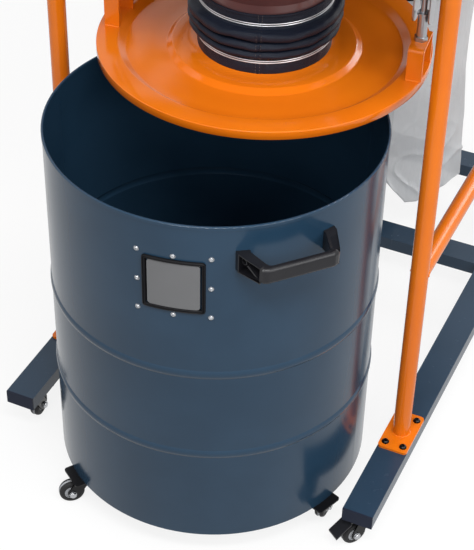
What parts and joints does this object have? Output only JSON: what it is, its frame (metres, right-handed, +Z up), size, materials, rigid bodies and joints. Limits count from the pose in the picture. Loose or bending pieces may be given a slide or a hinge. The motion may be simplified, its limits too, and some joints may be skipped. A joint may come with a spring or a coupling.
{
  "type": "dust extraction unit collecting section",
  "caption": "Collecting section of a dust extraction plant: rolling dust drum under a raised lid and cone, with a clear filter bag, on a tube frame.",
  "frame": {"origin": "on the floor, under the middle of the plan", "axes": "+Z up; +Y from the drum (front) to the filter bag (rear), along the rails; +X to the right seen from the front"},
  "size_m": [0.796, 1.4638, 1.304],
  "materials": {
    "orange_paint": "gloss paint",
    "dark_paint": "gloss paint, dark blue-grey",
    "bright_zinc": "zinc plated",
    "chromed": "polished",
    "black_rubber": "matt",
    "wheel_rubber": "matt",
    "black_plastic": "fine grain",
    "black_paint": "satin paint",
    "clear_film": "frosted clear film",
    "grey_pane": "translucent sheet",
    "navy_fabric": "coated cloth"
  },
  "bodies": {
    "frame": {"rail_left": "dark_paint", "rail_right": "dark_paint", "cross_beam_front": "dark_paint", "cross_beam_rear": "dark_paint", "deck": "dark_paint", "cone": "dark_paint", "cone_flange": "dark_paint", "filter_housing": "dark_paint", "filter_flange": "dark_paint", "rail_caps": "black_plastic", "frame_caster_pedals": "black_plastic", "leg_front_left": "orange_paint", "leg_front_right": "orange_paint", "leg_rear_left": "orange_paint", "leg_rear_right": "orange_paint", "foot_plates": "orange_paint", "head_plates": "orange_paint", "side_tube_lower_left": "orange_paint", "side_tube_lower_right": "orange_paint", "side_tube_upper_left": "orange_paint", "side_tube_upper_right": "orange_paint", "clamp_arms": "orange_paint", "filter_bag": "clear_film", "bag_strap": "black_rubber", "sleeve_wire_upper": "bright_zinc", "frame_caster_forks": "black_paint", "frame_caster_plates": "black_paint", "clamp_body_left": "chromed", "clamp_body_right": "chromed", "frame_caster_wheels": "wheel_rubber"},
    "lid": {"lid": "orange_paint", "lid_gasket": "black_rubber", "lid_bracket_left": "orange_paint", "lid_bracket_right": "orange_paint", "clamp_plunger_left": "chromed", "clamp_plunger_right": "chromed", "sleeve": "navy_fabric", "sleeve_wire_lower": "bright_zinc"},
    "lever_left": {"clamp_lever_left": "bright_zinc", "clamp_grip_left": "black_plastic"},
    "lever_right": {"clamp_lever_right": "bright_zinc", "clamp_grip_right": "black_plastic"},
    "drum": {"drum_shell": "dark_paint", "drum_rim": "dark_paint", "drum_floor": "dark_paint", "window_frame": "black_rubber", "window_pane": "grey_pane", "drum_handle": "black_plastic", "drum_caster_plates": "black_paint"},
    "drum_fork_1": {"drum_caster_fork_1": "black_paint"},
    "drum_wheel_1": {"drum_caster_wheel_1": "wheel_rubber"},
    "drum_fork_2": {"drum_caster_fork_2": "black_paint"},
    "drum_wheel_2": {"drum_caster_wheel_2": "wheel_rubber"},
    "drum_fork_3": {"drum_caster_fork_3": "black_paint"},
    "drum_wheel_3": {"drum_caster_wheel_3": "wheel_rubber"},
    "drum_fork_4": {"drum_caster_fork_4": "black_paint"},
    "drum_wheel_4": {"drum_caster_wheel_4": "wheel_rubber"}
  },
  "joints": [
    {"name": "lid_lift", "type": "slide", "parent": "frame", "child": "lid", "axis": [0, 0, -1], "range_m": [0, 0.042], "deforming": ["sleeve"]},
    {"name": "lever_left_swing", "type": "hinge", "parent": "frame", "child": "lever_left", "pos_m": [-0.26594, -0.27889, 1.112], "axis": [1, 0, 0], "range_deg": [0, 95]},
    {"name": "lever_right_swing", "type": "hinge", "parent": "frame", "child": "lever_right", "pos_m": [0.28394, -0.21137, 1.112], "axis": [1, 0, 0], "range_deg": [0, 95]},
    {"name": "drum_roll", "type": "slide", "parent": "frame", "child": "drum", "axis": [0, 1, 0], "range_m": [-0.45, 0.199]},
    {"name": "drum_swivel_1", "type": "hinge", "parent": "drum", "child": "drum_fork_1", "pos_m": [-0.16634, -0.66468, 0.066], "axis": [0, 0, 1], "continuous": true},
    {"name": "drum_wheel_1_spin", "type": "hinge", "parent": "drum_fork_1", "child": "drum_wheel_1", "pos_m": [-0.18472, -0.68011, 0.025], "axis": [-0.6428, 0.766, 0], "continuous": true},
    {"name": "drum_swivel_2", "type": "hinge", "parent": "drum", "child": "drum_fork_2", "pos_m": [0.27251, -0.52632, 0.066], "axis": [0, 0, 1], "continuous": true},
    {"name": "drum_wheel_2_spin", "type": "hinge", "parent": "drum_fork_2", "child": "drum_wheel_2", "pos_m": [0.27167, -0.50233, 0.025], "axis": [0.9994, 0.0349, 0], "continuous": true},
    {"name": "drum_swivel_3", "type": "hinge", "parent": "drum", "child": "drum_fork_3", "pos_m": [0.16634, -0.18958, 0.066], "axis": [0, 0, 1], "continuous": true},
    {"name": "drum_wheel_3_spin", "type": "hinge", "parent": "drum_fork_3", "child": "drum_wheel_3", "pos_m": [0.17834, -0.16879, 0.025], "axis": [0.866, -0.5, 0], "continuous": true},
    {"name": "drum_swivel_4", "type": "hinge", "parent": "drum", "child": "drum_fork_4", "pos_m": [-0.27251, -0.32795, 0.066], "axis": [0, 0, 1], "continuous": true},
    {"name": "drum_wheel_4_spin", "type": "hinge", "parent": "drum_fork_4", "child": "drum_wheel_4", "pos_m": [-0.27668, -0.30431, 0.025], "axis": [0.9848, 0.1736, 0], "continuous": true}
  ],
  "couplings": [
    {"joint": "lever_left_swing", "follows": "lid_lift", "rad_per_m": 39.4},
    {"joint": "lever_right_swing", "follows": "lid_lift", "rad_per_m": 39.4}
  ]
}
